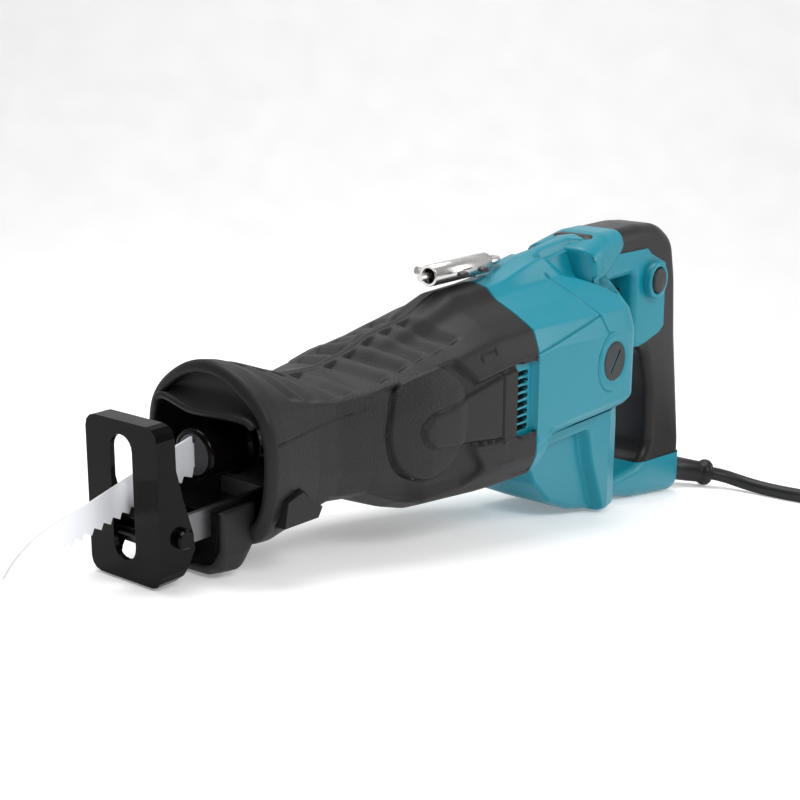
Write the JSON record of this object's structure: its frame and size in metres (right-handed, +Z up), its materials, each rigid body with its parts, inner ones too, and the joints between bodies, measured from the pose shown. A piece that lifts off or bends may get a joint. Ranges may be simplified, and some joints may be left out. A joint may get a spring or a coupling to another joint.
{
  "type": "corded reciprocating saw",
  "caption": "Corded reciprocating saw with a rubber-covered nose, tool-less blade clamp, pivoting shoe, D-handle with trigger, fold-over hook and coiled mains lead.",
  "frame": {"origin": "on the standing surface under the middle of the saw's box, taken without its mains lead", "axes": "+X from the blade towards the handle, +Y towards the saw's right side, +Z up"},
  "size_m": [0.7612, 0.2067, 0.1743],
  "materials": {
    "black_steel": "gloss",
    "bright_steel": "satin",
    "blade_steel": "polished",
    "dark_steel": "satin",
    "gear_steel": "machined",
    "aluminium": "cast",
    "bronze": "sintered",
    "brass": "satin",
    "copper": "enamelled winding",
    "lamination": "satin",
    "carbon": "matte",
    "boot": "satin, finely grained",
    "rubber": "matte",
    "grey_plastic": "matte",
    "teal": "semi-gloss, lightly textured",
    "cord": "satin"
  },
  "bodies": {
    "saw": {"shoe_guide": "aluminium", "front_bush": "bronze", "rod_seal": "rubber", "front_boot": "boot", "gear_case": "aluminium", "crank_bearing": "bright_steel", "front_bearing": "bright_steel", "rear_bearing": "bright_steel", "bearing_plate": "aluminium", "stator": "lamination", "field_coil_upper": "copper", "field_coil_lower": "copper", "carbon_brush_left": "carbon", "carbon_brush_right": "carbon", "brush_holder_left": "brass", "brush_holder_right": "brass", "brush_cap_left": "grey_plastic", "brush_cap_right": "grey_plastic", "motor_housing": "teal", "handle_left": "teal", "handle_right": "teal", "handle_screw_1": "bright_steel", "handle_screw_2": "bright_steel", "handle_screw_3": "bright_steel", "grip_rear": "rubber", "grip_front": "rubber", "switch_body": "grey_plastic", "trigger_spring": "bright_steel", "cord_clamp": "grey_plastic", "hook_bracket": "bright_steel", "cord_guard": "rubber", "cord_lead": "cord", "cord_coil": "cord", "coil_tie": "rubber", "plug": "rubber", "cord_tail": "cord"},
    "slider": {"slider_rod": "bright_steel", "slider_yoke": "bright_steel", "blade_holder": "dark_steel", "clamp_pin": "bright_steel", "clamp_spring": "bright_steel", "blade": "blade_steel"},
    "sleeve": {"blade_clamp_sleeve": "black_steel"},
    "crank": {"crank_gear": "gear_steel", "crank_shaft": "bright_steel", "balance_weight": "gear_steel"},
    "armature": {"armature_shaft": "bright_steel", "pinion": "gear_steel", "armature_core": "lamination", "winding_rear": "copper", "winding_front": "copper", "commutator": "copper", "fan": "grey_plastic"},
    "carriage": {"shoe_bracket": "bright_steel", "shoe_pin": "black_steel"},
    "shoe": {"shoe": "black_steel"},
    "shoe_lock": {"shoe_lock_button": "boot"},
    "trigger": {"trigger": "grey_plastic"},
    "lock_on": {"lock_on_button": "grey_plastic"},
    "hook": {"hook": "bright_steel"}
  },
  "joints": [
    {"name": "blade_stroke", "type": "slide", "parent": "saw", "child": "slider", "axis": [0.9863, 0, 0.165], "range_m": [-0.015, 0.015]},
    {"name": "clamp_release", "type": "hinge", "parent": "slider", "child": "sleeve", "pos_m": [-0.15562, 0, 0.05542], "axis": [0.9863, 0, 0.165], "range_deg": [0, 60], "stiffness_Nm_per_rad": 0.15, "springref_deg": -17.19},
    {"name": "armature_spin", "type": "hinge", "parent": "saw", "child": "armature", "pos_m": [0.05824, 0, 0.08614], "axis": [0.9863, 0, 0.165], "continuous": true},
    {"name": "crank_spin", "type": "hinge", "parent": "saw", "child": "crank", "pos_m": [-0.05025, 0, 0.06799], "axis": [0, 1, 0], "continuous": true},
    {"name": "shoe_extend", "type": "slide", "parent": "saw", "child": "carriage", "axis": [-0.9863, 0, -0.165], "range_m": [0, 0.025]},
    {"name": "shoe_tilt", "type": "hinge", "parent": "carriage", "child": "shoe", "pos_m": [-0.19282, 0, 0.02324], "axis": [0, 1, 0], "range_deg": [-30, 20]},
    {"name": "shoe_lock_press", "type": "slide", "parent": "saw", "child": "shoe_lock", "axis": [0, 1, 0], "range_m": [0, 0.003], "stiffness_N_per_m": 900, "springref_m": -0.002},
    {"name": "trigger_pull", "type": "slide", "parent": "saw", "child": "trigger", "axis": [0.9863, 0, 0.165], "range_m": [0, 0.007], "stiffness_N_per_m": 700, "springref_m": -0.005, "deforming": ["trigger_spring"]},
    {"name": "lock_on_press", "type": "slide", "parent": "saw", "child": "lock_on", "axis": [0, 1, 0], "range_m": [0, 0.003], "stiffness_N_per_m": 900, "springref_m": -0.002},
    {"name": "hook_fold", "type": "hinge", "parent": "saw", "child": "hook", "pos_m": [0.01487, 0.002, 0.13931], "axis": [0.9863, 0, 0.165], "range_deg": [0, 110]}
  ],
  "couplings": [
    {"joint": "crank_spin", "follows": "armature_spin", "ratio": 0.125}
  ]
}
